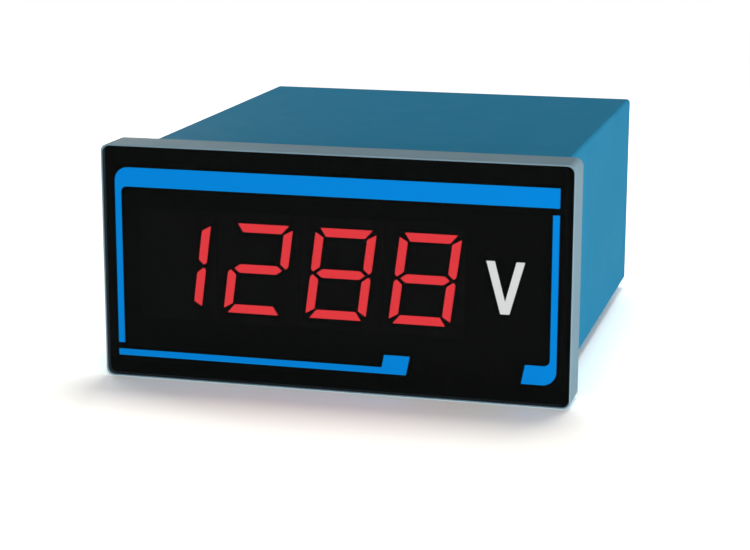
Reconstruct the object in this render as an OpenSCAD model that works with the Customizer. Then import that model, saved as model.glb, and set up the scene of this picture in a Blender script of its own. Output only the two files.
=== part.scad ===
// Digital panel meter with a four digit display, for a rectangular panel cut-out.
// Origin: middle of the bezel's back face, which seats on the panel.
// X runs to the right as seen from the front, Y into the panel, Z up.

/* [Bezel and window] */
// Width of the front bezel
bezel_w = 96; // [94:1:104]
// Height of the front bezel
bezel_h = 48; // [47:1:56]
// How far the bezel stands in front of the panel
bezel_d = 9; // [8.5:0.5:14]
// Corner radius of the bezel
bezel_r = 1.6; // [0.8:0.1:2.5]
// Chamfer along the bezel's front edges
bezel_chamfer = 0.2; // [0.1:0.05:0.25]
// Width of the bezel's rim round the window
rim_w = 0.3; // [0.3:0.1:1.5]
// Thickness of the window
window_t = 1.4; // [1:0.1:2]
// Depth of the window's face behind the rim
window_inset = 0.1; // [0.06:0.02:0.3]
// Thickness of the ledge that the window lies on
ledge_t = 2; // [1.5:0.1:3]
// Thickness of the printed layers
ink_t = 0.05; // [0.03:0.01:0.05]

/* [Printed frame] */
// Bare margin of the window left and right of the printed blue frame
print_margin_x = 2.6; // [1.5:0.1:5]
// Bare margin above and below it
print_margin_z = 4.25; // [2.5:0.05:6]
// Height of its heavy top bar
top_bar_h = 3.9; // [2.5:0.1:6]
// Width of its thin lines
line_w = 1.3; // [0.8:0.1:2]
// Height of the two blocks at its foot
foot_h = 3.85; // [2.5:0.05:4.5]
// Radius of its rounded outer corners
print_r = 2.8; // [2:0.1:3.4]
// Breaks between the heavy bar, the lines and the foot
print_break = 1.35; // [0.8:0.05:2]
// Length of the middle foot block
foot_w = 5.2; // [3:0.1:8]
// Bare place between the two foot blocks
badge_w = 23; // [16:0.5:28]
// Length of the corner foot block
corner_foot_w = 6.9; // [5:0.1:10]
// Lean of the ends of the foot blocks
foot_lean = 11; // [0:1:20]

/* [Display] */
// Height of the digits
digit_h = 18.4; // [14:0.1:20]
// Width of the digits
digit_w = 12.4; // [9:0.1:13]
// Distance from one digit to the next
digit_pitch = 17.1; // [16.6:0.1:17.4]
// Room between the digits and the left wall of the housing
display_margin = 0.7; // [0.6:0.1:6]
// How far the display's middle lies below the middle of the bezel
display_drop = 0.25; // [0:0.05:2]
// Lean of the digits
digit_lean = 7.5; // [0:0.5:10]
// Width of the segments
segment_w = 1.75; // [1:0.05:2.2]
// Height of a digit's package
package_h = 24; // [23:0.5:28]
// Depth of a digit's package
package_d = 8; // [6:0.5:9]
// Depth of the segments in the package's face
segment_d = 0.8; // [0.5:0.1:1.5]
// Distance between a package's two rows of pins
pin_row_span = 15.24; // [12.7:0.1:16.5]

/* [Housing] */
// How far the bezel's back face stands out left and right of the housing
seat_x = 4; // [3:0.25:6]
// How far it stands out above and below the housing
seat_z = 2; // [1.5:0.25:3]
// Length of the housing behind the panel
housing_l = 97; // [92:1:120]
// Corner radius along the housing's edges
housing_r = 0.8; // [0.4:0.1:1.2]
// Wall of the housing
wall = 2; // [1.6:0.1:2.2]
// Thickness of the rear cover
cover_t = 2; // [1.5:0.1:3]
// Radius of the screw bosses in the housing's corners
boss_r = 3; // [2.6:0.1:3.2]
// Length of the screw bosses
boss_l = 14; // [10:1:20]

/* [Boards] */
// Thickness of the circuit boards
board_t = 1.6; // [1:0.1:2]
// Room between the lower screw bosses and the main board
board_gap = 0.7; // [0.3:0.1:1.2]
// How far the guide ribs stand out of the housing's sides
guide_w = 2; // [1.2:0.1:2.4]
// Width of the transformer's core
core_w = 30; // [26:1:32]
// Height of the transformer's core
core_h = 25; // [20:1:27]
// Depth of the transformer's stack
core_stack = 12.5; // [9:0.5:14]
// Radius of the filter capacitors
capacitor_r = 5; // [4:0.25:5.5]
// Height of the filter capacitors
capacitor_h = 17; // [12:1:24]

/* [Terminals] */
// Distance from one terminal to the next
terminal_pitch = 7.62; // [7.2:0.02:8.2]
// Height of the terminal block
block_h = 13; // [12:0.5:16]
// How far the terminal block stands out of the rear cover
block_reach = 11; // [10:0.5:14]
// Depth of the wiring bays
bay_d = 9; // [8:0.25:9.5]
// Width of the walls between the bays
barrier_w = 1.2; // [0.8:0.1:1.5]
// Thread radius of the terminal screws
terminal_screw_r = 1.5; // [1.2:0.1:1.7]
// Head radius of the terminal screws
terminal_head_r = 2.7; // [2.3:0.1:2.9]
// Thickness of the clamping saddles
saddle_t = 1; // [0.8:0.1:1.4]

/* [Hidden] */
$fn = 48;

// Clearances
seat_gap = 0.1;      // round a piece that drops into a seat
slide_gap = 0.3;     // round a board in its guides
thread_gap = 0.05;   // round a screw in its hole
pin_gap = 0.1;       // from a pin's corner to its hole
run_gap = 0.3;       // between a moving piece and the walls of its bay
cut = 1;             // how far a cutting tool runs past the face that it cuts

// The stack of layers from the front to the display board
front_y = -bezel_d;
window_y = front_y + window_inset;
mask_y = window_y + window_t;
ledge_y = mask_y + ink_t;
ledge_back_y = ledge_y + ledge_t;
digit_y = ledge_y + seat_gap;
display_board_y = digit_y + package_d;
display_board_back_y = display_board_y + board_t;

// The housing and what closes it
window_w = bezel_w - 2 * rim_w;
window_h = bezel_h - 2 * rim_w;
window_r = bezel_r - rim_w / 2;
print_w = window_w - 2 * print_margin_x;
print_h = window_h - 2 * print_margin_z;
print_inner_r = 1.2; // inside corner under the heavy bar
print_foot_r = 1.2;  // inside corner over the corner foot block
corner_foot_x = print_w / 2 - corner_foot_w;
foot_x = corner_foot_x - badge_w - foot_w;
housing_w = bezel_w - 2 * seat_x;
housing_h = bezel_h - 2 * seat_z;
inner_w = housing_w - 2 * wall;
inner_h = housing_h - 2 * wall;
rebate_w = wall / 2;
ledge_lip = 1;       // how far the ledge reaches in past the housing's walls
throat_r = 1;        // corner radius of the opening in the ledge
cover_y = housing_l - cover_t;
boss_x = inner_w / 2 - boss_r;
boss_z = inner_h / 2 - boss_r;
cover_screw_r = 1.35;
cover_screw_l = 9;
cover_head_r = 2.5;
cover_head_h = 1.7;
cross_w = 2.8;       // the cross in the head
cross_t = 0.6;
cross_d = 1.1;

// Snap catches that hold the bezel on the housing
catch_w = 9;
catch_d = 2.4;
catch_h = 0.8;
catch_x = 26;
catch_step = 2.2;    // from the housing's front edge to the catch
catch_y = ledge_back_y + catch_step;

// The boards
floor_z = -inner_h / 2;
board_z = floor_z + 2 * boss_r + board_gap + board_t;
board_w = inner_w - 2 * slide_gap;
board_back_gap = 1.4;
board_back_y = cover_y - board_back_gap;
guide_t = 1.2;
guide_end_gap = 1;
guide_end_y = cover_y - boss_l - guide_end_gap;
display_board_w = inner_w - 2 * slide_gap;
display_board_h = inner_h - 2 * slide_gap;

// Digits: corner points of a segment are worked out from these
half_h = digit_h / 2;
half_w = digit_w / 2;
corner_clear = 0.9;
tip_clear = 0.3;
dot_r = 0.8;         // decimal point, right of the digit's foot
dot_margin = 0.55;
dot_x = digit_pitch / 2 - dot_r - dot_margin;
display_x = -inner_w / 2 + display_margin + 2 * digit_pitch;
digit_x = [for (i = [0:3]) display_x + (i - 1.5) * digit_pitch];
LIT = [[1, 2], [0, 1, 3, 4, 6], [0, 1, 2, 3, 4, 5, 6], [0, 1, 2, 3, 4, 5, 6]];
UNLIT = [[0, 3, 4, 5, 6], [2, 5], [], []];
mask_lap = 0.6;      // how far the mask covers the packages' edges
mask_r = 1;
digit_pin_w = 0.5;
digit_pin_pitch = 2.54;
pin_out = 1.6;

// Header that joins the two boards
header_pins_n = 20;
header_pitch = 2.54;
header_pin_w = 0.64;
header_h = 2.5;
header_gap = 0.6;
header_y = display_board_back_y + header_gap;
header_z = board_z - board_t - header_h;
header_pin_z = header_z + header_h / 2;
header_bend = 1.6;   // from the body's back to the bend in its pins
header_bend_y = header_y + header_h + header_bend;

// Terminals
terminals_n = 6;
bay_w = terminal_pitch - barrier_w;
block_w = terminals_n * terminal_pitch + barrier_w;
block_back_y = housing_l + block_reach;
block_root = 9;      // how far the block reaches in through the cover
block_front_y = cover_y - block_root;
bay_y = block_back_y - bay_d;
bay_z0 = board_z;
bay_top_wall = 1.6;
bay_z1 = board_z + block_h - bay_top_wall;
terminal_z = (bay_z0 + bay_z1) / 2;
contact_t = 1;
contact_h = 8;
contact_w = bay_w - 2 * run_gap;
saddle_w = bay_w - 2 * run_gap;
saddle_h = 7;
saddle_y = bay_y + contact_t;
terminal_head_h = 2.2;
terminal_screw_l = 7;
slot_w = 0.8;
slot_d = 1.1;
tail_w = 1;
tail_step = 3;
block_edge = 1.2;    // chamfer along the block's upper back edge
tail_y = block_front_y + tail_step;
saddle_relief = 0.2; // depth of the hollow under the saddle
saddle_lip = 0.6;    // width of the bent sides

// Terminal 1 is the left one as seen from behind
function terminal_x(i) = ((terminals_n + 1) / 2 - i) * terminal_pitch;

// ---------- shared shapes ----------

// A flat outline in X and Z, with its thickness from y0 to y1
module slab(y0, y1) {
  translate([0, y1, 0]) rotate([90, 0, 0]) linear_extrude(y1 - y0) children();
}

module rounded_rect(w, h, r) {
  square([w - 2 * r, h], center = true);
  square([w, h - 2 * r], center = true);
  for (sx = [-1, 1], sz = [-1, 1])
    translate([sx * (w / 2 - r), sz * (h / 2 - r)]) circle(r);
}

module box(x0, x1, y0, y1, z0, z1) {
  translate([x0, y0, z0]) cube([x1 - x0, y1 - y0, z1 - z0]);
}

// A round bar along Y, from y0 to y1
module bar_y(x, z, r, y0, y1) {
  translate([x, y0, z]) rotate([-90, 0, 0]) cylinder(r = r, h = y1 - y0);
}

module four_corners(x, z) {
  for (sx = [-1, 1], sz = [-1, 1]) translate([sx * x, 0, sz * z]) children();
}

// ---------- front ----------

// Side view of the bezel, with the chamfer at its front edge
module chamfered_profile(half) {
  polygon([
    [0, -half],
    [front_y + bezel_chamfer, -half],
    [front_y, -half + bezel_chamfer],
    [front_y, half - bezel_chamfer],
    [front_y + bezel_chamfer, half],
    [0, half]
  ]);
}

module bezel_body() {
  intersection() {
    slab(front_y - cut, 0) rounded_rect(bezel_w, bezel_h, bezel_r);
    translate([-bezel_w / 2 - cut, 0, 0]) rotate([90, 0, 90])
      linear_extrude(bezel_w + 2 * cut) chamfered_profile(bezel_h / 2);
    translate([0, 0, -bezel_h / 2 - cut])
      linear_extrude(bezel_h + 2 * cut) rotate(90) chamfered_profile(bezel_w / 2);
  }
}

module bezel() {
  color("slategray") difference() {
    bezel_body();
    slab(front_y - cut, ledge_y) rounded_rect(window_w, window_h, window_r);
    slab(front_y, cut) rounded_rect(inner_w, inner_h - 2 * ledge_lip, throat_r);
    slab(ledge_back_y, cut)
      rounded_rect(housing_w + 2 * seat_gap, housing_h + 2 * seat_gap, housing_r);
    for (sx = [-1, 1], sz = [-1, 1])
      translate([sx * catch_x, 0, 0]) catch_wedge(sz, seat_gap);
  }
}

module front_window() {
  color("black")
    slab(window_y, mask_y)
      rounded_rect(window_w - 2 * seat_gap, window_h - 2 * seat_gap, window_r - seat_gap);
}

// Black print on the window's back, open over the digits
module window_mask() {
  opening_w = len(LIT) * digit_pitch - 2 * mask_lap;
  opening_h = package_h - 2 * mask_lap;
  color("black")
    slab(mask_y, ledge_y)
      difference() {
        rounded_rect(window_w - 2 * seat_gap, window_h - 2 * seat_gap, window_r - seat_gap);
        translate([display_x, -display_drop]) rounded_rect(opening_w, opening_h, mask_r);
      }
}

// One quarter ring that rounds the corner of a printed line
module print_corner(outer_r) {
  difference() {
    square([outer_r, outer_r]);
    circle(outer_r);
  }
}

// Blue ink: a heavy bar with a line down its left end
module print_top() {
  half_x = print_w / 2;
  top_z = print_h / 2;
  difference() {
    union() {
      translate([-half_x, top_z - top_bar_h]) square([print_w, top_bar_h]);
      translate([-half_x, -top_z + line_w + print_break])
        square([line_w, print_h - line_w - print_break]);
      translate([-half_x + line_w, top_z - top_bar_h - print_inner_r]) square(print_inner_r);
    }
    translate([-half_x + line_w + print_inner_r, top_z - top_bar_h - print_inner_r])
      circle(print_inner_r);
    translate([-half_x + print_r, top_z - print_r]) mirror([1, 0]) print_corner(print_r);
  }
}

// Blue ink: the line along the foot, with the block that ends it
module print_foot() {
  foot_z = -print_h / 2;
  run = tan(foot_lean);
  polygon([
    [-print_w / 2, foot_z],
    [foot_x + foot_w, foot_z],
    [foot_x + foot_w + foot_h * run, foot_z + foot_h],
    [foot_x + foot_h * run, foot_z + foot_h],
    [foot_x + line_w * run, foot_z + line_w],
    [-print_w / 2, foot_z + line_w]
  ]);
}

// Blue ink: the line up the right side, with the block at the corner
module print_right() {
  half_x = print_w / 2;
  foot_z = -print_h / 2;
  line_top = print_h / 2 - top_bar_h - print_break;
  difference() {
    union() {
      polygon([
        [corner_foot_x, foot_z],
        [half_x, foot_z],
        [half_x, foot_z + foot_h],
        [corner_foot_x + foot_h * tan(foot_lean), foot_z + foot_h]
      ]);
      translate([half_x - line_w, foot_z]) square([line_w, line_top - foot_z]);
      translate([half_x - line_w - print_foot_r, foot_z + foot_h]) square(print_foot_r);
    }
    translate([half_x - line_w - print_foot_r, foot_z + foot_h + print_foot_r])
      circle(print_foot_r);
    translate([half_x - print_r, foot_z + print_r]) mirror([0, 1]) print_corner(print_r);
  }
}

module front_print() {
  color("dodgerblue") slab(window_y - ink_t, window_y) {
    print_top();
    print_foot();
    print_right();
  }
}

// ---------- housing ----------

// Snap catch on the top (side 1) or the floor (side -1) of the housing
module catch_wedge(side, gap) {
  z = housing_h / 2;
  top = z + catch_h + gap;
  w = catch_w + 2 * gap;
  translate([-w / 2, 0, 0]) rotate([90, 0, 90]) linear_extrude(w)
    polygon([
      [catch_y - gap, side * (z - wall / 2)],
      [catch_y - gap, side * z],
      [catch_y + catch_d * 0.6, side * top],
      [catch_y + catch_d + gap, side * top],
      [catch_y + catch_d + gap, side * (z - wall / 2)]
    ]);
}

module guide_rib(side, z0) {
  x = inner_w / 2;
  box(min(side * x, side * (x - guide_w)), max(side * x, side * (x - guide_w)),
      display_board_back_y, guide_end_y, z0, z0 + guide_t);
}

module screw_boss() {
  bar_y(0, 0, boss_r, cover_y - boss_l, cover_y);
}

module housing() {
  color("steelblue") difference() {
    union() {
      difference() {
        slab(ledge_back_y, housing_l) rounded_rect(housing_w, housing_h, housing_r);
        slab(ledge_back_y - cut, housing_l + cut) square([inner_w, inner_h], center = true);
      }
      for (side = [-1, 1]) {
        guide_rib(side, board_z + slide_gap / 2);
        guide_rib(side, board_z - board_t - slide_gap / 2 - guide_t);
        for (sx = [-1, 1]) translate([sx * catch_x, 0, 0]) catch_wedge(side, 0);
      }
      four_corners(boss_x, boss_z) screw_boss();
      for (sx = [-1, 1], sz = [-1, 1])
        box(min(sx * boss_x, sx * inner_w / 2), max(sx * boss_x, sx * inner_w / 2),
            cover_y - boss_l, cover_y,
            min(sz * boss_z, sz * inner_h / 2), max(sz * boss_z, sz * inner_h / 2));
    }
    slab(cover_y, housing_l + cut)
      square([inner_w + 2 * rebate_w, inner_h + 2 * rebate_w], center = true);
    four_corners(boss_x, boss_z)
      bar_y(0, 0, cover_screw_r + thread_gap, cover_y - cover_screw_l, cover_y + cut);
  }
}

module rear_cover() {
  color("steelblue") difference() {
    slab(cover_y, housing_l)
      square([inner_w + 2 * rebate_w - 2 * seat_gap, inner_h + 2 * rebate_w - 2 * seat_gap],
             center = true);
    box(-block_w / 2 - seat_gap, block_w / 2 + seat_gap, cover_y - cut, housing_l + cut,
        board_z - seat_gap, board_z + block_h + seat_gap);
    four_corners(boss_x, boss_z)
      bar_y(0, 0, cover_screw_r + slide_gap, cover_y - cut, housing_l + cut);
  }
}

// Pan head screw along Y, its head's seat at y = 0
module pan_screw(shaft_r, shaft_l, head_r, head_h) {
  rotate([-90, 0, 0]) rotate_extrude()
    polygon([
      [0, -shaft_l],
      [shaft_r * 0.5, -shaft_l],
      [shaft_r, -shaft_l + shaft_r],
      [shaft_r, 0],
      [head_r, 0],
      [head_r, head_h * 0.55],
      [head_r * 0.8, head_h],
      [0, head_h]
    ]);
}

module cover_screws() {
  color("silver") four_corners(boss_x, boss_z) difference() {
    translate([0, housing_l, 0])
      pan_screw(cover_screw_r, cover_screw_l - thread_gap, cover_head_r, cover_head_h);
    for (turn = [0, 90])
      translate([0, housing_l + cover_head_h, 0]) rotate([0, turn, 0])
        cube([cross_w, 2 * cross_d, cross_t], center = true);
  }
}

// ---------- display ----------

// Points of the seven segments, in the order top, upper right, lower right,
// foot, lower left, upper left, middle
function lean(points) = [for (p = points) [p[0] + p[1] * tan(digit_lean), p[1]]];
function flip_x(points) = [for (p = points) [-p[0], p[1]]];
function flip_z(points) = [for (p = points) [p[0], -p[1]]];

function top_segment() = [
  [-half_w + corner_clear, half_h],
  [half_w - corner_clear, half_h],
  [half_w - corner_clear - 0.75 * segment_w, half_h - segment_w],
  [-half_w + corner_clear + 0.75 * segment_w, half_h - segment_w]
];

function side_segment() = [
  [half_w, half_h - corner_clear],
  [half_w, tip_clear + 0.3 * segment_w],
  [half_w - 0.3 * segment_w, tip_clear],
  [half_w - segment_w, tip_clear + 0.6 * segment_w],
  [half_w - segment_w, half_h - corner_clear - 0.6 * segment_w]
];

function middle_segment() = [
  for (side = [-1, 1], p = [[1, -0.5], [0.35, 0], [1, 0.5]])
    [side * (half_w - 0.7 * corner_clear - p[0] * segment_w), side * p[1] * segment_w]
];

SEGMENTS = [
  lean(top_segment()),
  lean(side_segment()),
  lean(flip_z(side_segment())),
  lean(flip_z(top_segment())),
  lean(flip_z(flip_x(side_segment()))),
  lean(flip_x(side_segment())),
  lean(middle_segment())
];

// Moves what follows to the middle of one digit
module at_digit(digit) {
  translate([digit_x[digit], 0, -display_drop]) children();
}

module segments(digit, which) {
  for (s = which)
    at_digit(digit) slab(digit_y, digit_y + segment_d) polygon(SEGMENTS[s]);
}

module decimal_point(digit) {
  at_digit(digit) slab(digit_y, digit_y + segment_d)
    translate([dot_x, -half_h + dot_r]) circle(dot_r);
}

module digit_package(digit) {
  color("dimgray") difference() {
    at_digit(digit) slab(digit_y, display_board_y)
      square([digit_pitch - seat_gap, package_h], center = true);
    segments(digit, [0:6]);
    decimal_point(digit);
  }
}

module lit_segments() {
  color("crimson") for (digit = [0:3]) segments(digit, LIT[digit]);
}

module unlit_segments() {
  color("maroon") for (digit = [0:3]) {
    segments(digit, UNLIT[digit]);
    decimal_point(digit);
  }
}

module each_digit_pin() {
  for (digit = [0:3], side = [-1, 1], k = [-2:2])
    at_digit(digit) translate([k * digit_pin_pitch, 0, side * pin_row_span / 2]) children();
}

module digit_pins() {
  color("silver") each_digit_pin()
    slab(display_board_y, display_board_back_y + pin_out)
      square(digit_pin_w, center = true);
}

module each_header_pin() {
  for (i = [0:header_pins_n - 1])
    translate([(i - (header_pins_n - 1) / 2) * header_pitch, 0, 0]) children();
}

module display_board() {
  color("darkgreen") difference() {
    slab(display_board_y, display_board_back_y)
      square([display_board_w, display_board_h], center = true);
    each_digit_pin()
      bar_y(0, 0, digit_pin_w / sqrt(2) + pin_gap,
            display_board_y - cut, display_board_back_y + cut);
    each_header_pin()
      bar_y(0, header_pin_z, header_pin_w / sqrt(2) + pin_gap,
            display_board_y - cut, display_board_back_y + cut);
  }
}

// ---------- boards and what they carry ----------

module header_body() {
  w = header_pins_n * header_pitch;
  color("black") difference() {
    box(-w / 2, w / 2, header_y, header_y + header_h, header_z, header_z + header_h);
    each_header_pin() translate([0, header_y + header_h / 2, header_pin_z])
      cube([header_pin_w, header_h + cut, header_pin_w], center = true);
  }
}

// Each pin is bent up through a right angle into the main board
module header_pins() {
  h = header_pin_w / 2;
  color("gold") each_header_pin()
    translate([-h, 0, 0]) rotate([90, 0, 90]) linear_extrude(header_pin_w)
      polygon([
        [display_board_y + pin_gap, header_pin_z - h],
        [header_bend_y + h, header_pin_z - h],
        [header_bend_y + h, board_z + pin_out],
        [header_bend_y - h, board_z + pin_out],
        [header_bend_y - h, header_pin_z + h],
        [display_board_y + pin_gap, header_pin_z + h]
      ]);
}

module main_board() {
  color("darkgreen") difference() {
    box(-board_w / 2, board_w / 2, display_board_back_y + slide_gap, board_back_y,
        board_z - board_t, board_z);
    each_header_pin()
      translate([0, header_bend_y, board_z - board_t - cut])
        cylinder(r = header_pin_w / sqrt(2) + pin_gap, h = board_t + 2 * cut);
    for (i = [1:terminals_n])
      translate([terminal_x(i), tail_y, board_z - board_t - cut])
        cylinder(r = tail_w / sqrt(2) + pin_gap, h = board_t + 2 * cut);
  }
}

chip_w = 14;
chip_h = 2;
chip_foot = 0.15;
chip_y = 24;
chip_legs_n = 11;
chip_leg_pitch = 1;
chip_leg_w = 0.4;
chip_leg_t = 0.15;
chip_leg_z = 1;
chip_knee = 0.7;
chip_slope = 0.2;
chip_reach = 1.8;

module converter_chip() {
  color("black") translate([-chip_w / 2, chip_y - chip_w / 2, board_z + chip_foot])
    cube([chip_w, chip_w, chip_h]);
}

// Gull wing legs on the four sides of the chip
module chip_legs() {
  out = chip_w / 2;
  bend = out + chip_knee;
  color("silver")
    for (side = [0:3], i = [0:chip_legs_n - 1])
      translate([0, chip_y, board_z]) rotate(side * 90)
        translate([(i - (chip_legs_n - 1) / 2) * chip_leg_pitch - chip_leg_w / 2, 0, 0])
          rotate([90, 0, 90]) linear_extrude(chip_leg_w)
            polygon([
              [out, chip_leg_z],
              [bend, chip_leg_z],
              [bend + chip_slope, chip_leg_t],
              [out + chip_reach, chip_leg_t],
              [out + chip_reach, 0],
              [bend + chip_slope - chip_leg_t, 0],
              [bend - chip_leg_t, chip_leg_z - chip_leg_t],
              [out, chip_leg_z - chip_leg_t]
            ]);
}

transformer_gap = 3;
transformer_x = -inner_w / 2 + guide_w + transformer_gap + core_w / 2;
transformer_y = 64;
leg_w = core_w / 3;
window_core_w = core_w / 6;
yoke_h = core_w / 6;
flange_t = 1;
tube_t = 0.8;
bobbin_out = window_core_w - slide_gap;
rail_d = 3;
winding_inset = 0.6;

module at_transformer() {
  translate([transformer_x, transformer_y, board_z]) children();
}

// Laminated core: three legs between two yokes, with two windows
module transformer_core() {
  color("gray") at_transformer() difference() {
    box(-core_w / 2, core_w / 2, -core_stack / 2, core_stack / 2, 0, core_h);
    for (side = [-1, 1])
      translate([side * (leg_w / 2 + window_core_w / 2), 0, core_h / 2])
        cube([window_core_w, core_stack + cut, core_h - 2 * yoke_h], center = true);
  }
}

module bobbin_shell(grow, z0, z1) {
  x = leg_w / 2 + grow;
  y = core_stack / 2 + grow;
  box(-x, x, -y, y, z0, z1);
}

module transformer_bobbin() {
  z0 = yoke_h + seat_gap;
  z1 = core_h - yoke_h - seat_gap;
  rail_w = leg_w + 2 * bobbin_out;
  rail_y = core_stack / 2 + bobbin_out;
  color("ivory") at_transformer() {
    difference() {
      union() {
        bobbin_shell(tube_t + seat_gap, z0, z1);
        bobbin_shell(bobbin_out, z0, z0 + flange_t);
        bobbin_shell(bobbin_out, z1 - flange_t, z1);
        for (side = [-1, 1])
          translate([-rail_w / 2, side * (rail_y - rail_d / 2) - rail_d / 2, 0])
            cube([rail_w, rail_d, z0 + flange_t]);
      }
      bobbin_shell(seat_gap, -cut, core_h + cut);
    }
  }
}

module transformer_winding() {
  z0 = yoke_h + seat_gap + flange_t;
  z1 = core_h - yoke_h - seat_gap - flange_t;
  color("peru") at_transformer() difference() {
    bobbin_shell(bobbin_out - winding_inset, z0, z1);
    bobbin_shell(tube_t + seat_gap, z0 - cut, z1 + cut);
  }
}

regulator_w = 10;
regulator_d = 3.2;
regulator_h = 9.2;
regulator_lift = 4;
regulator_gap = 2;
regulator_x = inner_w / 2 - guide_w - regulator_gap - regulator_w / 2;
regulator_y = 46;
tab_t = 1.3;
tab_h = 15.5;
tab_hole_z = 12.6;
tab_hole_r = 1.9;
lead_w = 0.5;
lead_pitch = 2.54;
lead_y = 1.4;

module voltage_regulator() {
  color("black") translate([regulator_x - regulator_w / 2, regulator_y, board_z + regulator_lift])
    cube([regulator_w, regulator_d, regulator_h]);
}

// Metal tab with its hole, and the three legs that stand in the board
module regulator_tab() {
  color("silver") translate([regulator_x, regulator_y, board_z]) {
    translate([0, 0, regulator_lift]) difference() {
      box(-regulator_w / 2, regulator_w / 2, regulator_d, regulator_d + tab_t, 0, tab_h);
      bar_y(0, tab_hole_z, tab_hole_r, regulator_d - cut, regulator_d + tab_t + cut);
    }
    for (k = [-1:1])
      translate([k * lead_pitch - lead_w / 2, lead_y, 0]) cube([lead_w, lead_w, regulator_lift]);
  }
}

bridge_w = 6.4;
bridge_l = 8.4;
bridge_h = 3.2;
bridge_edge = 1.2;
bridge_gap = 3;
bridge_x = regulator_x - regulator_w / 2 - bridge_gap - bridge_w / 2;
bridge_y = 51;

// Flat package with a chamfer along the edge where its first lead is
module bridge_rectifier() {
  color("black") translate([bridge_x - bridge_w / 2, bridge_y, board_z])
    rotate([90, 0, 90]) linear_extrude(bridge_w)
      polygon([
        [-bridge_l / 2, 0],
        [bridge_l / 2, 0],
        [bridge_l / 2, bridge_h],
        [-bridge_l / 2 + bridge_edge, bridge_h],
        [-bridge_l / 2, bridge_h - bridge_edge]
      ]);
}

capacitor_x = 10;
capacitor_y = 64;
capacitor_gap = 2;
capacitor_edge = 0.45;
bead_z = 2.3;
bead_d = 0.5;

module filter_capacitors() {
  color("navy")
    for (i = [0, 1])
      translate([capacitor_x + i * (2 * capacitor_r + capacitor_gap), capacitor_y, board_z])
        rotate_extrude()
          polygon([
            [0, 0],
            [capacitor_r - capacitor_edge, 0],
            [capacitor_r, capacitor_edge],
            [capacitor_r, bead_z - bead_d],
            [capacitor_r - bead_d, bead_z],
            [capacitor_r, bead_z + bead_d],
            [capacitor_r, capacitor_h - capacitor_edge],
            [capacitor_r - capacitor_edge, capacitor_h],
            [0, capacitor_h]
          ]);
}

film_gap = 10;
film_w = 10;
film_x = inner_w / 2 - guide_w - film_gap - film_w;
film_y = 14;
film_d = 3.5;
film_h = 7.5;
film_pitch = 6;

module film_capacitors() {
  color("firebrick")
    for (i = [0:2])
      translate([film_x, film_y + i * film_pitch, board_z]) cube([film_w, film_d, film_h]);
}

resistors_n = 8;
resistor_x = -14;
resistor_y = 41;
resistor_pitch = 4;
resistor_r = 1.2;
resistor_waist_r = 0.95;
resistor_l = 6.4;
resistor_cap_l = 1.3;
resistor_edge = 0.4;
resistor_span = 4.5;

// Axial resistors that lie on the board, with their leads bent down to it
module resistors() {
  h = lead_w / 2;
  color("tan")
    for (i = [0:resistors_n - 1])
      translate([resistor_x + i * resistor_pitch, resistor_y, board_z + resistor_r]) {
        translate([0, -resistor_l / 2, 0]) rotate([-90, 0, 0]) rotate_extrude()
          polygon([
            [0, 0],
            [resistor_r - resistor_edge, 0],
            [resistor_r, resistor_edge],
            [resistor_r, resistor_cap_l],
            [resistor_waist_r, resistor_cap_l + resistor_edge],
            [resistor_waist_r, resistor_l - resistor_cap_l - resistor_edge],
            [resistor_r, resistor_l - resistor_cap_l],
            [resistor_r, resistor_l - resistor_edge],
            [resistor_r - resistor_edge, resistor_l],
            [0, resistor_l]
          ]);
        for (turn = [0, 180]) rotate(turn) {
          box(-h, h, 0, resistor_span + h, -h, h);
          box(-h, h, resistor_span - h, resistor_span + h, -resistor_r, h);
        }
      }
}

trimmer_r = 1.2;
trimmer_w = 4.8;
trimmer_l = 9.5;
trimmer_h = 10;
trimmer_proud = 0.6;
trimmer_seat = 2.4;
trimmer_slot_w = 0.5;
trimmer_gap = 8;
trimmer_pitch = 10;
trimmer_x = -inner_w / 2 + guide_w + trimmer_gap;
TRIMMER_X = [trimmer_x, trimmer_x + trimmer_pitch];
trimmer_y = 20;
trimmer_step = 2.6;
trimmer_screw_y = trimmer_y + trimmer_step;

module trimmer_bodies() {
  color("royalblue")
    for (x = TRIMMER_X) difference() {
      translate([x - trimmer_w / 2, trimmer_y - trimmer_l / 2, board_z])
        cube([trimmer_w, trimmer_l, trimmer_h]);
      translate([x, trimmer_screw_y, board_z + trimmer_h - trimmer_seat])
        cylinder(r = trimmer_r + thread_gap, h = trimmer_seat + cut);
    }
}

module trimmer_screw(x) {
  color("goldenrod") translate([x, trimmer_screw_y, board_z + trimmer_h - trimmer_seat])
    difference() {
      cylinder(r = trimmer_r, h = trimmer_seat + trimmer_proud);
      translate([0, 0, trimmer_seat + trimmer_proud])
        cube([2 * trimmer_r + cut, trimmer_slot_w, 2 * trimmer_proud], center = true);
    }
}

module zero_trimmer_screw() {
  trimmer_screw(TRIMMER_X[0]);
}

module span_trimmer_screw() {
  trimmer_screw(TRIMMER_X[1]);
}

// ---------- terminals ----------

module terminal_block() {
  block_top = board_z + block_h;
  color("black") difference() {
    translate([-block_w / 2, 0, 0]) rotate([90, 0, 90]) linear_extrude(block_w)
      polygon([
        [block_front_y, board_z],
        [block_back_y, board_z],
        [block_back_y, block_top - block_edge],
        [block_back_y - block_edge, block_top],
        [block_front_y, block_top]
      ]);
    for (i = [1:terminals_n]) {
      x = terminal_x(i);
      box(x - bay_w / 2, x + bay_w / 2, bay_y, block_back_y + cut, bay_z0 - cut, bay_z1);
      bar_y(x, terminal_z, terminal_screw_r + run_gap, bay_y - terminal_screw_l, bay_y + cut);
      box(x - tail_w / 2 - seat_gap, x + tail_w / 2 + seat_gap,
          tail_y - tail_w / 2 - seat_gap, bay_y + cut, bay_z0 - cut, bay_z0 + tail_w + seat_gap);
    }
  }
}

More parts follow.
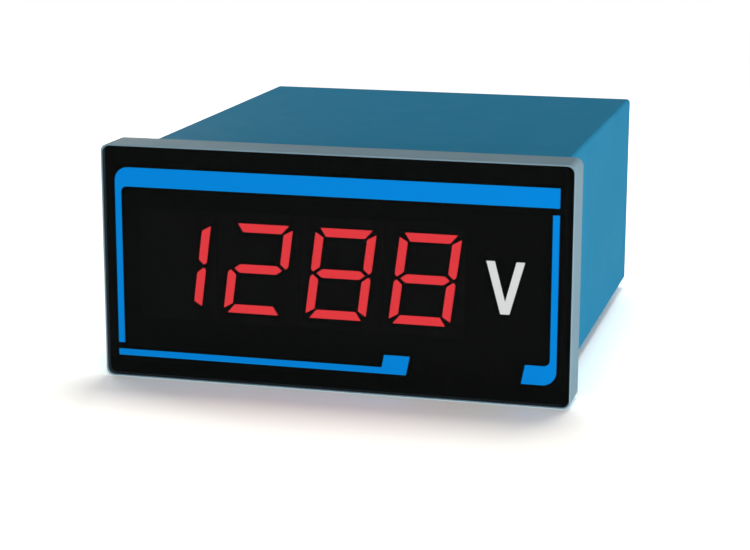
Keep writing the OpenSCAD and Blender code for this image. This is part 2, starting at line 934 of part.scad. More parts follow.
// Threaded contact plate in each bay, with a tail into the main board
module terminal_contacts() {
  color("silver") for (i = [1:terminals_n]) translate([terminal_x(i), 0, 0]) {
    difference() {
      box(-contact_w / 2, contact_w / 2, bay_y, bay_y + contact_t,
          terminal_z - contact_h / 2, terminal_z + contact_h / 2);
      bar_y(0, terminal_z, terminal_screw_r + thread_gap, bay_y - cut, bay_y + contact_t + cut);
    }
    box(-tail_w / 2, tail_w / 2, bay_y, bay_y + contact_t, bay_z0, terminal_z - contact_h / 2);
    box(-tail_w / 2, tail_w / 2, tail_y, bay_y, bay_z0, bay_z0 + tail_w);
    box(-tail_w / 2, tail_w / 2, tail_y - tail_w / 2, tail_y + tail_w / 2,
        board_z - board_t - pin_out, bay_z0 + tail_w);
  }
}

module terminal_screw(i) {
  head_y = saddle_y + saddle_t;
  color("silver") difference() {
    translate([terminal_x(i), head_y, terminal_z])
      pan_screw(terminal_screw_r, terminal_screw_l, terminal_head_r, terminal_head_h);
    translate([terminal_x(i), head_y + terminal_head_h, terminal_z])
      rotate([0, 25 + 40 * i, 0]) cube([2 * terminal_head_r + cut, 2 * slot_d, slot_w], center = true);
  }
}

// Square washer under the screw's head, with its sides bent towards the contact
module terminal_saddle(i) {
  color("silver") translate([terminal_x(i), 0, terminal_z]) difference() {
    box(-saddle_w / 2, saddle_w / 2, saddle_y, saddle_y + saddle_t, -saddle_h / 2, saddle_h / 2);
    bar_y(0, 0, terminal_screw_r + pin_gap, saddle_y - cut, saddle_y + saddle_t + cut);
    box(-saddle_w / 2 + saddle_lip, saddle_w / 2 - saddle_lip,
        saddle_y - cut, saddle_y + saddle_relief, -saddle_h / 2 - cut, saddle_h / 2 + cut);
  }
}

bezel();
front_window();
window_mask();
front_print();
housing();
rear_cover();
cover_screws();
display_board();
digit_package(0);  // digit_1
digit_package(1);  // digit_2
digit_package(2);  // digit_3
digit_package(3);  // digit_4
lit_segments();
unlit_segments();
digit_pins();
header_body();
header_pins();
main_board();
converter_chip();
chip_legs();
transformer_core();
transformer_bobbin();
transformer_winding();
bridge_rectifier();
filter_capacitors();
voltage_regulator();
regulator_tab();
film_capacitors();
resistors();
trimmer_bodies();
zero_trimmer_screw();
span_trimmer_screw();
terminal_block();
terminal_contacts();
terminal_screw(1);  // terminal_screw_1
terminal_screw(2);  // terminal_screw_2
terminal_screw(3);  // terminal_screw_3
terminal_screw(4);  // terminal_screw_4
terminal_screw(5);  // terminal_screw_5
terminal_screw(6);  // terminal_screw_6
terminal_saddle(1);  // terminal_saddle_1
terminal_saddle(2);  // terminal_saddle_2
terminal_saddle(3);  // terminal_saddle_3
terminal_saddle(4);  // terminal_saddle_4
terminal_saddle(5);  // terminal_saddle_5
terminal_saddle(6);  // terminal_saddle_6
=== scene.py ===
import math

import bmesh
import bpy
from mathutils import Matrix, Vector


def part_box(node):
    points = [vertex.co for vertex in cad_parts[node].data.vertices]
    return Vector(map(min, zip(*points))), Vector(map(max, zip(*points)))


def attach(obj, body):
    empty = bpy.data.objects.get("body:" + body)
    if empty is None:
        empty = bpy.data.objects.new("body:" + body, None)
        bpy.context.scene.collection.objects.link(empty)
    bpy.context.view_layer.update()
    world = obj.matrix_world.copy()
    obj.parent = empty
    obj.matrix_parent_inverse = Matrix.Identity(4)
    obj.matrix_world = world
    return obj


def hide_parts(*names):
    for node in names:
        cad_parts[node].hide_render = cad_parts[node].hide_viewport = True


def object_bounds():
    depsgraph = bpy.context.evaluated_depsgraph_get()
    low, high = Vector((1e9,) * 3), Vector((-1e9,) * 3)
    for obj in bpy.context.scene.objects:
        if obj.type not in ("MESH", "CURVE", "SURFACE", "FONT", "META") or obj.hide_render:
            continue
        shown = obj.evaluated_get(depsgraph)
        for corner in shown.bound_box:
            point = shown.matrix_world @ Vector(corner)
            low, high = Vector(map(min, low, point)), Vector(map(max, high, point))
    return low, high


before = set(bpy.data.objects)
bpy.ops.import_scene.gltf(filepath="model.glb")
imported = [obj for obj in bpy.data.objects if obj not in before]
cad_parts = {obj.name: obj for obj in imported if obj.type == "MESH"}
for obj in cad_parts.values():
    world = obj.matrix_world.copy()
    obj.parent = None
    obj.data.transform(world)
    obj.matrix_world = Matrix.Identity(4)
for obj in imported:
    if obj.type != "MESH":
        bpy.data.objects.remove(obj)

cad_low, cad_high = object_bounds()
mm = 0.001


# ---------- Camera ----------
# A long lens stands in front of the meter and to its right, a little above it.
# It looks slightly down, and is turned to the left.
camera_place = Vector((0.1055, -0.3791, 0.0890))
turn_left = math.radians(14.63)
look_down = math.radians(13.03)
lens_roll = math.radians(0.14)
lens_length = 96.33  # in millimetres, as is the sensor's width
sensor_width = 36

camera_data = bpy.data.cameras.new("studio_camera")
camera_data.sensor_width = sensor_width
camera_data.lens = lens_length
camera = bpy.data.objects.new("studio_camera", camera_data)
camera.matrix_world = (
    Matrix.Translation(camera_place)
    @ Matrix.Rotation(turn_left, 4, "Z")
    @ Matrix.Rotation(math.pi / 2 - look_down, 4, "X")
    @ Matrix.Rotation(lens_roll, 4, "Z")
)
bpy.context.collection.objects.link(camera)
bpy.context.scene.camera = camera
bpy.context.scene.view_settings.view_transform = "Standard"


# ---------- Light ----------
# A weak white surround fills every side. Large soft lamps stand low at the front right and
# the back left, and a small one over the back draws the short shadow in front.
surround_strength = 0.13
surround_colour = (1.0, 0.99, 0.98, 1)
backdrop_white = (1, 1, 1, 1)

world = bpy.data.worlds.new("studio_surround")
bpy.context.scene.world = world
world.use_nodes = True
world_nodes, world_links = world.node_tree.nodes, world.node_tree.links
world_nodes.clear()
surround = world_nodes.new("ShaderNodeBackground")
surround.inputs["Color"].default_value = surround_colour
surround.inputs["Strength"].default_value = surround_strength
backdrop = world_nodes.new("ShaderNodeBackground")
backdrop.inputs["Color"].default_value = backdrop_white
backdrop.inputs["Strength"].default_value = 1.0


def seen_directly(nodes, links):
    """A factor of 1 for what the camera sees, by itself or in metal and glass."""
    rays = nodes.new("ShaderNodeLightPath")
    shiny = nodes.new("ShaderNodeMath")
    shiny.operation = "MAXIMUM"
    links.new(rays.outputs["Is Glossy Ray"], shiny.inputs[0])
    links.new(rays.outputs["Is Transmission Ray"], shiny.inputs[1])
    seen = nodes.new("ShaderNodeMath")
    seen.operation = "MAXIMUM"
    links.new(rays.outputs["Is Camera Ray"], seen.inputs[0])
    links.new(shiny.outputs[0], seen.inputs[1])
    return seen.outputs[0]


world_mix = world_nodes.new("ShaderNodeMixShader")
world_out = world_nodes.new("ShaderNodeOutputWorld")
world_links.new(seen_directly(world_nodes, world_links), world_mix.inputs[0])
world_links.new(surround.outputs[0], world_mix.inputs[1])
world_links.new(backdrop.outputs[0], world_mix.inputs[2])
world_links.new(world_mix.outputs[0], world_out.inputs["Surface"])


def soft_lamp(name, place, width, height, watts, colour):
    """A flat lamp of this size, which faces the meter."""
    lamp_data = bpy.data.lights.new(name, "AREA")
    lamp_data.shape = "RECTANGLE"
    lamp_data.size = width
    lamp_data.size_y = height
    lamp_data.energy = watts
    lamp_data.color = colour
    lamp = bpy.data.objects.new(name, lamp_data)
    lamp.location = place
    lamp.rotation_euler = (-Vector(place)).to_track_quat("-Z", "Y").to_euler()
    bpy.context.collection.objects.link(lamp)


soft_lamp(
    "right_lamp",
    place=(0.9, -0.95, 0.07),
    width=0.8,
    height=0.14,
    watts=17.5,
    colour=(0.985, 1.0, 1.0),
)
soft_lamp(
    "rear_lamp",
    place=(-0.85, 0.95, 0.07),
    width=0.9,
    height=0.14,
    watts=13.0,
    colour=(1.0, 1.0, 1.0),
)
soft_lamp(
    "top_lamp",
    place=(0.05, 0.33, 0.87),
    width=0.36,
    height=0.36,
    watts=2.45,
    colour=(1.0, 0.97, 0.91),
)


# ---------- Floor ----------
# A wide pale sheet under the meter. Near the meter it keeps the soft shadow, and further
# out it fades to plain white.
floor_reach = 5.0
shadow_reach = 0.3
white_reach = 1.6 * shadow_reach
floor_grey = (0.8, 0.8, 0.8, 1)
floor_white = (2.6, 2.58, 2.49, 1)

floor_mesh = bpy.data.meshes.new("floor")
floor_shape = bmesh.new()
bmesh.ops.create_grid(floor_shape, x_segments=1, y_segments=1, size=floor_reach)
bmesh.ops.translate(floor_shape, verts=floor_shape.verts, vec=(0, 0, cad_low.z))
floor_shape.to_mesh(floor_mesh)
floor_shape.free()
floor = bpy.data.objects.new("floor", floor_mesh)
bpy.context.collection.objects.link(floor)

floor_paint = bpy.data.materials.new("pale_floor")
floor_paint.use_nodes = True
floor_nodes, floor_links = floor_paint.node_tree.nodes, floor_paint.node_tree.links
floor_nodes.clear()
pale = floor_nodes.new("ShaderNodeBsdfDiffuse")
pale.inputs["Color"].default_value = floor_grey
white = floor_nodes.new("ShaderNodeBsdfDiffuse")
white.inputs["Color"].default_value = floor_white
clear = floor_nodes.new("ShaderNodeEmission")
clear.inputs["Strength"].default_value = 1.0
floor_place = floor_nodes.new("ShaderNodeTexCoord")
distance = floor_nodes.new("ShaderNodeVectorMath")
distance.operation = "LENGTH"
fade = floor_nodes.new("ShaderNodeMapRange")
fade.inputs["From Min"].default_value = shadow_reach
fade.inputs["From Max"].default_value = white_reach
seen_floor = floor_nodes.new("ShaderNodeMixShader")
floor_mix = floor_nodes.new("ShaderNodeMixShader")
floor_out = floor_nodes.new("ShaderNodeOutputMaterial")
floor_links.new(floor_place.outputs["Object"], distance.inputs[0])
floor_links.new(distance.outputs["Value"], fade.inputs["Value"])
floor_links.new(fade.outputs[0], seen_floor.inputs[0])
floor_links.new(white.outputs[0], seen_floor.inputs[1])
floor_links.new(clear.outputs[0], seen_floor.inputs[2])
floor_links.new(seen_directly(floor_nodes, floor_links), floor_mix.inputs[0])
floor_links.new(pale.outputs[0], floor_mix.inputs[1])
floor_links.new(seen_floor.outputs[0], floor_mix.inputs[2])
floor_links.new(floor_mix.outputs[0], floor_out.inputs["Surface"])
floor_mesh.materials.append(floor_paint)


# ---------- Bezel ----------
# The frame that seats on the panel: one grey ABS moulding, with small radii on its edges
# and a fine eroded finish from the tool.
def paint(chip):
    """The linear colour of a colour chip that is written as rrggbb."""
    channels = [int(chip[i : i + 2], 16) / 255 for i in (0, 2, 4)]
    return [c / 12.92 if c <= 0.04045 else ((c + 0.055) / 1.055) ** 2.4 for c in channels] + [1.0]


def shaded(colour, factor):
    """A colour made darker or lighter by a factor."""
    return [min(1.0, c * factor) for c in colour[:3]] + [1.0]


def noise_on(nodes, links, scale, detail):
    """Noise that is fixed to the piece: blotches a metre, and how many finer layers."""
    place = nodes.new("ShaderNodeTexCoord")
    noise = nodes.new("ShaderNodeTexNoise")
    noise.inputs["Scale"].default_value = scale
    noise.inputs["Detail"].default_value = detail
    links.new(place.outputs["Object"], noise.inputs["Vector"])
    return noise.outputs["Fac"]


first_colour, second_colour, mixed_colour = 6, 7, 2  # a colour Mix node's sockets
cloud_scale, cloud_detail = 55, 3
gloss_scale, gloss_detail = 130, 4
gloss_spread = 0.05
grain_detail = 2
grain_depth = 0.05 * mm
noise_low, noise_high = 0.3, 0.7  # nearly all of a noise lies between these


def moulded_plastic(name, chip, roughness, grain_scale, grain, mottle=0.05, specular=0.35):
    """Moulded plastic: a faint cloud in its colour and gloss, and the grain of its tool."""
    material = bpy.data.materials.new(name)
    material.use_nodes = True
    nodes, links = material.node_tree.nodes, material.node_tree.links
    skin = nodes["Principled BSDF"]
    skin.inputs["Specular IOR Level"].default_value = specular
    tint = nodes.new("ShaderNodeMix")
    tint.data_type = "RGBA"
    tint.inputs[first_colour].default_value = shaded(paint(chip), 1 - mottle)
    tint.inputs[second_colour].default_value = shaded(paint(chip), 1 + mottle)
    links.new(noise_on(nodes, links, cloud_scale, cloud_detail), tint.inputs[0])
    links.new(tint.outputs[mixed_colour], skin.inputs["Base Color"])
    gloss = nodes.new("ShaderNodeMapRange")
    gloss.inputs["From Min"].default_value = noise_low
    gloss.inputs["From Max"].default_value = noise_high
    gloss.inputs["To Min"].default_value = roughness - gloss_spread
    gloss.inputs["To Max"].default_value = roughness + gloss_spread
    links.new(noise_on(nodes, links, gloss_scale, gloss_detail), gloss.inputs["Value"])
    links.new(gloss.outputs[0], skin.inputs["Roughness"])
    bump = nodes.new("ShaderNodeBump")
    bump.inputs["Strength"].default_value = grain
    bump.inputs["Distance"].default_value = grain_depth
    links.new(noise_on(nodes, links, grain_scale, grain_detail), bump.inputs["Height"])
    links.new(bump.outputs[0], skin.inputs["Normal"])
    return material


weld_distance = 0.001 * mm
flat_angle = math.radians(0.5)
sharp_angle = math.radians(35)
by_area_alone = 100


def rounded_copy(node, round_over):
    """A copy of a CAD solid, made whole and with its edges rounded over."""
    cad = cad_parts[node]
    mesh = bpy.data.meshes.new(node + "_shell")
    shape = bmesh.new()
    shape.from_mesh(cad.data)
    bmesh.ops.remove_doubles(shape, verts=shape.verts, dist=weld_distance)
    bmesh.ops.dissolve_limit(
        shape, angle_limit=flat_angle, verts=shape.verts, edges=shape.edges
    )
    for face in shape.faces:
        face.smooth = True
    shape.to_mesh(mesh)
    shape.free()
    piece = bpy.data.objects.new(node + "_shell", mesh)
    bpy.context.collection.objects.link(piece)
    edges = piece.modifiers.new("round_over", "BEVEL")
    edges.width = round_over
    edges.segments = 2
    edges.limit_method = "ANGLE"
    edges.angle_limit = sharp_angle
    flats = piece.modifiers.new("flat_faces", "WEIGHTED_NORMAL")
    flats.mode = "FACE_AREA"
    flats.weight = by_area_alone
    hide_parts(node)
    return piece


def dress(piece, material, body):
    """Gives a piece its one material and its body."""
    piece.data.materials.clear()
    piece.data.materials.append(material)
    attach(piece, body)


bezel_grey = moulded_plastic(
    "bezel_plastic", "85a1af", roughness=0.6, grain_scale=2600, grain=0.12, specular=0.03
)
bezel = rounded_copy("bezel", round_over=0.09 * mm)
dress(bezel, bezel_grey, "meter")


# ---------- Housing ----------
# A deep open-ended box of blue polycarbonate, moulded in one piece with its screw bosses
# and board guides. Its outside is matt, with long straight edges.
housing_blue = moulded_plastic(
    "housing_plastic",
    "2c8cb5",
    roughness=0.65,
    grain_scale=1900,
    grain=0.2,
    mottle=0.035,
    specular=0.01,
)
housing = rounded_copy("housing", round_over=0.15 * mm)
dress(housing, housing_blue, "meter")


# ---------- Rear cover ----------
# A flat plate of the same plastic, let into the housing's back end and cut out round the
# terminal block. Four screws hold it.
rear_cover = rounded_copy("rear_cover", round_over=0.15 * mm)
dress(rear_cover, housing_blue, "meter")


# ---------- Front window ----------
# A sheet of smoked acrylic with a fine matt front, dropped into the bezel's recess. The
# lit digits show through it and the dark ones don't.
window_tint = 0.5
window_gloss = 0.04
sheen_low, sheen_high = 0.28, 0.4
sheen_scale, sheen_detail = 90, 4

smoked_acrylic = bpy.data.materials.new("smoked_acrylic")
smoked_acrylic.use_nodes = True
acrylic_nodes, acrylic_links = smoked_acrylic.node_tree.nodes, smoked_acrylic.node_tree.links
acrylic = acrylic_nodes["Principled BSDF"]
acrylic.inputs["Base Color"].default_value = paint("0e100f")
acrylic.inputs["Alpha"].default_value = window_tint
acrylic.inputs["Specular IOR Level"].default_value = window_gloss
acrylic_sheen = acrylic_nodes.new("ShaderNodeMapRange")
acrylic_sheen.inputs["To Min"].default_value = sheen_low
acrylic_sheen.inputs["To Max"].default_value = sheen_high
acrylic_links.new(
    noise_on(acrylic_nodes, acrylic_links, sheen_scale, sheen_detail),
    acrylic_sheen.inputs["Value"],
)
acrylic_links.new(acrylic_sheen.outputs[0], acrylic.inputs["Roughness"])


def refinish(node, material):
    """A CAD solid that keeps its own mesh gets a finer material."""
    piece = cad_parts[node]
    piece.data.materials.clear()
    piece.data.materials.append(material)


refinish("front_window", smoked_acrylic)


# ---------- Printing on the window ----------
# Screen printed inks: a black mask on the back of the sheet, a blue frame on its front,
# and a white letter for the unit that is shown.
def screen_ink(name, chip, roughness):
    """A flat ink film with a very slight unevenness."""
    return moulded_plastic(
        name, chip, roughness, grain_scale=4200, grain=0.04, mottle=0.012, specular=0.03
    )


refinish("window_mask", screen_ink("black_ink", "0c0d0d", roughness=0.6))
refinish("front_print", screen_ink("blue_ink", "0487de", roughness=0.5))

unit_height = 10.45 * mm
unit_width = 7.6 * mm
unit_stroke = 1.68 * mm
unit_foot = 1.8 * mm
unit_notch = 2.5 * mm  # from the foot up to where the strokes part
unit_middle = 34.8 * mm
unit_base = -5.8 * mm
unit_place = Vector((unit_middle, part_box("front_window")[0].y, unit_base))
ink_film = 0.03 * mm

unit_notch_point = (0, unit_notch)
unit_right = [
    (unit_width / 2 - unit_stroke, unit_height),
    (unit_width / 2, unit_height),
    (unit_foot / 2, 0),
]
unit_left = [(-x, z) for x, z in reversed(unit_right)]
unit_points = [unit_notch_point] + unit_right + unit_left
unit_mesh = bpy.data.meshes.new("unit_letter")
unit_shape = bmesh.new()
unit_corners = [unit_shape.verts.new(unit_place + Vector((x, 0, z))) for x, z in unit_points]
unit_face = unit_shape.faces.new(unit_corners)
unit_front = bmesh.ops.extrude_face_region(unit_shape, geom=[unit_face])
bmesh.ops.translate(
    unit_shape,
    verts=[v for v in unit_front["geom"] if isinstance(v, bmesh.types.BMVert)],
    vec=(0, -ink_film, 0),
)
bmesh.ops.recalc_face_normals(unit_shape, faces=unit_shape.faces)
unit_shape.to_mesh(unit_mesh)
unit_shape.free()
unit_letter = bpy.data.objects.new("unit_letter", unit_mesh)
bpy.context.collection.objects.link(unit_letter)
white_ink = screen_ink("white_ink", "dcdcdc", roughness=0.5)
unit_mesh.materials.append(white_ink)
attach(unit_letter, "meter")


# ---------- Digits ----------
# Four black moulded packages stand side by side on the display board. Light guides of red
# epoxy fill their segments: some are lit, and the others stay dark.
package_black = moulded_plastic(
    "digit_package", "0f0f10", roughness=0.6, grain_scale=2600, grain=0.08, specular=0.03
)
digit_count = 4
for number in range(1, digit_count + 1):
    refinish(f"digit_{number}", package_black)


diode_red = "df383e"


def red_epoxy(name, chip, glow):
    """Cast epoxy in a segment. Glow is how brightly the diode under it lights it."""
    material = moulded_plastic(
        name, chip, roughness=0.45, grain_scale=3000, grain=0.05, mottle=0.03, specular=0.03
    )
    skin = material.node_tree.nodes["Principled BSDF"]
    skin.inputs["Emission Color"].default_value = paint(diode_red)
    skin.inputs["Emission Strength"].default_value = glow
    return material


light_through_window = (1 - window_tint) ** 2  # the sheet has a front and a back
room_light_share = 0.1
full_glow = 1 / light_through_window - room_light_share
refinish("lit_segments", red_epoxy("lit_epoxy", "5c1216", glow=full_glow))
refinish("unlit_segments", red_epoxy("dark_epoxy", "0d0809", glow=0))


# ---------- Metal parts ----------
# Pins, legs, contacts and screws: drawn or turned metal, plated with tin, zinc or nickel.
# The plating is bright, with fine marks left by the tools.
blotch_scale, blotch_detail = 380, 4
blotch_dark, blotch_light = 0.86, 1.08
polish_scale, polish_detail = 900, 3
polish_gain, polish_loss = 0.1, 0.14
mark_scale, mark_detail = 5200, 2
mark_depth = 0.03 * mm


def plated_metal(name, chip, roughness, marks):
    """Plated metal with faint blotches in its gloss and fine tool marks."""
    material = bpy.data.materials.new(name)
    material.use_nodes = True
    nodes, links = material.node_tree.nodes, material.node_tree.links
    skin = nodes["Principled BSDF"]
    skin.inputs["Metallic"].default_value = 1.0
    tint = nodes.new("ShaderNodeMix")
    tint.data_type = "RGBA"
    tint.inputs[first_colour].default_value = shaded(paint(chip), blotch_dark)
    tint.inputs[second_colour].default_value = shaded(paint(chip), blotch_light)
    links.new(noise_on(nodes, links, blotch_scale, blotch_detail), tint.inputs[0])
    links.new(tint.outputs[mixed_colour], skin.inputs["Base Color"])
    gloss = nodes.new("ShaderNodeMapRange")
    gloss.inputs["To Min"].default_value = roughness - polish_gain
    gloss.inputs["To Max"].default_value = roughness + polish_loss
    links.new(noise_on(nodes, links, polish_scale, polish_detail), gloss.inputs["Value"])
    links.new(gloss.outputs[0], skin.inputs["Roughness"])
    bump = nodes.new("ShaderNodeBump")
    bump.inputs["Strength"].default_value = marks
    bump.inputs["Distance"].default_value = mark_depth
    links.new(noise_on(nodes, links, mark_scale, mark_detail), bump.inputs["Height"])
    links.new(bump.outputs[0], skin.inputs["Normal"])
    return material


tinned_wire = plated_metal("tinned_wire", "c9c8c2", roughness=0.32, marks=0.05)
for node in ("digit_pins", "header_pins", "chip_legs", "regulator_tab"):
    refinish(node, tinned_wire)


# ---------- Circuit boards ----------
# Glass laminate under green solder mask. The copper tracks show through the mask as
# lighter lines that run along and across the board.
track_area_scale, track_area_detail = 85, 1
track_scale = 62
track_crest = 0.86  # only the crest of each wave is copper
half = 0.5


def circuit_laminate(name, mask_chip, track_chip):
    """Laminate with tracks along X on part of its area and along Y on the rest."""
    material = moulded_plastic(
        name, mask_chip, roughness=0.3, grain_scale=2400, grain=0.05, specular=0.4
    )
    nodes, links = material.node_tree.nodes, material.node_tree.links
    skin = nodes["Principled BSDF"]
    mask_colour = skin.inputs["Base Color"].links[0].from_socket
    place = nodes.new("ShaderNodeTexCoord")
    area = noise_on(nodes, links, track_area_scale, track_area_detail)
    tracks = []
    for direction, operation in (("X", "GREATER_THAN"), ("Y", "LESS_THAN")):
        lines = nodes.new("ShaderNodeTexWave")
        lines.bands_direction = direction
        lines.inputs["Scale"].default_value = track_scale
        links.new(place.outputs["Object"], lines.inputs["Vector"])
        narrow = nodes.new("ShaderNodeMath")
        narrow.operation = "GREATER_THAN"
        narrow.inputs[1].default_value = track_crest
        links.new(lines.outputs["Fac"], narrow.inputs[0])
        part = nodes.new("ShaderNodeMath")
        part.operation = operation
        part.inputs[1].default_value = half
        links.new(area, part.inputs[0])
        track = nodes.new("ShaderNodeMath")
        track.operation = "MULTIPLY"
        links.new(narrow.outputs[0], track.inputs[0])
        links.new(part.outputs[0], track.inputs[1])
        tracks.append(track)
    every_track = nodes.new("ShaderNodeMath")
    every_track.operation = "MAXIMUM"
    links.new(tracks[0].outputs[0], every_track.inputs[0])
    links.new(tracks[1].outputs[0], every_track.inputs[1])
    seen = nodes.new("ShaderNodeMix")
    seen.data_type = "RGBA"
    seen.inputs[second_colour].default_value = paint(track_chip)
    links.new(every_track.outputs[0], seen.inputs[0])
    links.new(mask_colour, seen.inputs[first_colour])
    links.new(seen.outputs[mixed_colour], skin.inputs["Base Color"])
    return material


green_board = circuit_laminate("green_board", mask_chip="14532c", track_chip="3a8a4b")
refinish("display_board", green_board)
refinish("main_board", green_board)


# ---------- Header and packaged parts ----------
# Black glass-filled nylon round the header's pins, and matt black epoxy round the
# converter chip, the bridge rectifier and the voltage regulator.
black_moulding = moulded_plastic(
    "black_moulding", "1b1b1c", roughness=0.55, grain_scale=2200, grain=0.15
)
for node in ("header_body", "converter_chip", "bridge_rectifier", "voltage_regulator"):
    refinish(node, black_moulding)


# ---------- Mains transformer ----------
# A stack of varnished steel sheets carries a nylon bobbin, wound with enamelled copper
# wire. The sheets' edges show as fine lines, and so do the turns of wire.
waves_a_metre = math.pi / 10  # the scale at which a Wave texture repeats once a metre
ridge_strength = 0.8


def in_layers(material, direction, layer, depth):
    """Adds the fine ridges of stacked sheets or of wire turns to a material."""
    nodes, links = material.node_tree.nodes, material.node_tree.links
    place = nodes.new("ShaderNodeTexCoord")
    ridges = nodes.new("ShaderNodeTexWave")
    ridges.bands_direction = direction
    ridges.inputs["Scale"].default_value = waves_a_metre / layer
    links.new(place.outputs["Object"], ridges.inputs["Vector"])
    bump = nodes.new("ShaderNodeBump")
    bump.inputs["Strength"].default_value = ridge_strength
    bump.inputs["Distance"].default_value = depth
    links.new(ridges.outputs["Fac"], bump.inputs["Height"])
    skin = nodes["Principled BSDF"]
    links.new(skin.inputs["Normal"].links[0].from_socket, bump.inputs["Normal"])
    links.new(bump.outputs[0], skin.inputs["Normal"])


core_sheets = plated_metal("core_sheets", "6f6a66", roughness=0.5, marks=0.1)
in_layers(core_sheets, "Y", layer=0.5 * mm, depth=0.08 * mm)
refinish("transformer_core", core_sheets)

copper_turns = plated_metal("copper_turns", "b5622c", roughness=0.35, marks=0.03)
in_layers(copper_turns, "Z", layer=0.3 * mm, depth=0.1 * mm)
refinish("transformer_winding", copper_turns)

bobbin_nylon = moulded_plastic(
    "bobbin_nylon", "ddd6c2", roughness=0.5, grain_scale=1800, grain=0.08
)
refinish("transformer_bobbin", bobbin_nylon)


# ---------- Small parts on the main board ----------
# Sleeved electrolytic capacitors with a pale stripe and a bare top, dipped film
# capacitors, banded resistors, and two blue trimmers with brass screws.
def axis_of(nodes, links, axis):
    """Where a point of the piece lies along X, Y or Z."""
    place = nodes.new("ShaderNodeTexCoord")
    split = nodes.new("ShaderNodeSeparateXYZ")
    links.new(place.outputs["Object"], split.inputs[0])
    return split.outputs[axis]


def where(nodes, links, value, operation, limit, margin=0.0):
    """A factor of 1 where a value passes a test against a limit."""
    test = nodes.new("ShaderNodeMath")
    test.operation = operation
    test.inputs[1].default_value = limit
    test.inputs[2].default_value = margin
    links.new(value, test.inputs[0])
    return test.outputs[0]


def painted_where(material, factor, chip):
    """Paints a material's base colour with a chip wherever the factor is 1."""
    nodes, links = material.node_tree.nodes, material.node_tree.links
    skin = nodes["Principled BSDF"]
    layer = nodes.new("ShaderNodeMix")
    layer.data_type = "RGBA"
    layer.inputs[second_colour].default_value = paint(chip)
    links.new(skin.inputs["Base Color"].links[0].from_socket, layer.inputs[first_colour])
    links.new(factor, layer.inputs[0])
    links.new(layer.outputs[mixed_colour], skin.inputs["Base Color"])


sleeve = moulded_plastic(
    "capacitor_sleeve", "1c2c5a", roughness=0.25, grain_scale=1500, grain=0.03, specular=0.5
)
sleeve_nodes, sleeve_links = sleeve.node_tree.nodes, sleeve.node_tree.links
can_low, can_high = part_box("filter_capacitors")
stripe_edge = can_low.y + 1.1 * mm
bare_top = can_high.z - 0.2 * mm
along_board = axis_of(sleeve_nodes, sleeve_links, "Y")
stripe = where(sleeve_nodes, sleeve_links, along_board, "LESS_THAN", stripe_edge)
painted_where(sleeve, stripe, "c9ced8")
height_of_can = axis_of(sleeve_nodes, sleeve_links, "Z")
top_of_can = where(sleeve_nodes, sleeve_links, height_of_can, "GREATER_THAN", bare_top)
painted_where(sleeve, top_of_can, "c4c6c8")
sleeve_links.new(top_of_can, sleeve_nodes["Principled BSDF"].inputs["Metallic"])
refinish("filter_capacitors", sleeve)

dipped_film = moulded_plastic(
    "dipped_film", "a23324", roughness=0.25, grain_scale=900, grain=0.1, specular=0.5
)
refinish("film_capacitors", dipped_film)

lacquer = moulded_plastic(
    "resistor_lacquer", "c8ad80", roughness=0.35, grain_scale=1800, grain=0.05
)
lacquer_nodes, lacquer_links = lacquer.node_tree.nodes, lacquer.node_tree.links
lead_low, lead_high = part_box("resistors")
resistor_middle = (lead_low.y + lead_high.y) / 2
resistor_half_length = 3.25 * mm
band_width = 0.5 * mm
band_chips = {-2.5: "7a3b14", -1.0: "141414", 0.4: "b3231c", 2.5: "b8923f"}
along_resistor = axis_of(lacquer_nodes, lacquer_links, "Y")
for band_offset, band_chip in band_chips.items():
    band_place = resistor_middle + band_offset * mm
    band = where(
        lacquer_nodes, lacquer_links, along_resistor, "COMPARE", band_place, band_width / 2
    )
    painted_where(lacquer, band, band_chip)
resistor_body = where(
    lacquer_nodes, lacquer_links, along_resistor, "COMPARE", resistor_middle, resistor_half_length
)
bare_lead = where(lacquer_nodes, lacquer_links, resistor_body, "LESS_THAN", half)
painted_where(lacquer, bare_lead, "c9c8c2")
lacquer_links.new(bare_lead, lacquer_nodes["Principled BSDF"].inputs["Metallic"])
refinish("resistors", lacquer)

trimmer_blue = moulded_plastic(
    "trimmer_blue", "2456a8", roughness=0.3, grain_scale=1500, grain=0.04
)
refinish("trimmer_bodies", trimmer_blue)
trimmer_brass = plated_metal("trimmer_brass", "c39a45", roughness=0.3, marks=0.06)
refinish("zero_trimmer_screw", trimmer_brass)
refinish("span_trimmer_screw", trimmer_brass)


# ---------- Cover screws ----------
# Four zinc plated pan head screws with a cross recess, driven through the rear cover into
# the housing's corner bosses.
bright_zinc = plated_metal("bright_zinc", "c3c6c9", roughness=0.28, marks=0.06)
cover_screws = rounded_copy("cover_screws", round_over=0.12 * mm)
dress(cover_screws, bright_zinc, "meter")


# ---------- Terminal block ----------
# A black moulding with a bay for each wire and a wall between one bay and the next. In
# each bay a nickel plated contact is set against the back wall.
block_black = moulded_plastic(
    "block_plastic", "202123", roughness=0.45, grain_scale=1700, grain=0.18
)
terminal_block = rounded_copy("terminal_block", round_over=0.15 * mm)
dress(terminal_block, block_black, "meter")

nickel_plate = plated_metal("nickel_plate", "cfcabc", roughness=0.25, marks=0.05)
refinish("terminal_contacts", nickel_plate)


# ---------- Terminal screws and saddles ----------
# M3 screws with slotted pan heads clamp a square saddle on each wire. Each thread is cut
# as a helix, which shows when a screw is backed out.
terminal_count = 6
edge_radius = 0.12 * mm
thread_pitch = 0.5 * mm
thread_crest = 1.5 * mm  # a radius, as the root is
thread_root = 1.2 * mm
crest_width = 0.12 * mm
thread_lap = 0.2 * mm  # how far the thread runs up into the head
thread_weld = 0.002 * mm
steps_a_turn = 20
under_head = 0.01 * mm  # from the head's seat to the cut that takes the plain shaft away
zinc_saddle = plated_metal("zinc_saddle", "b9bcbd", roughness=0.34, marks=0.08)


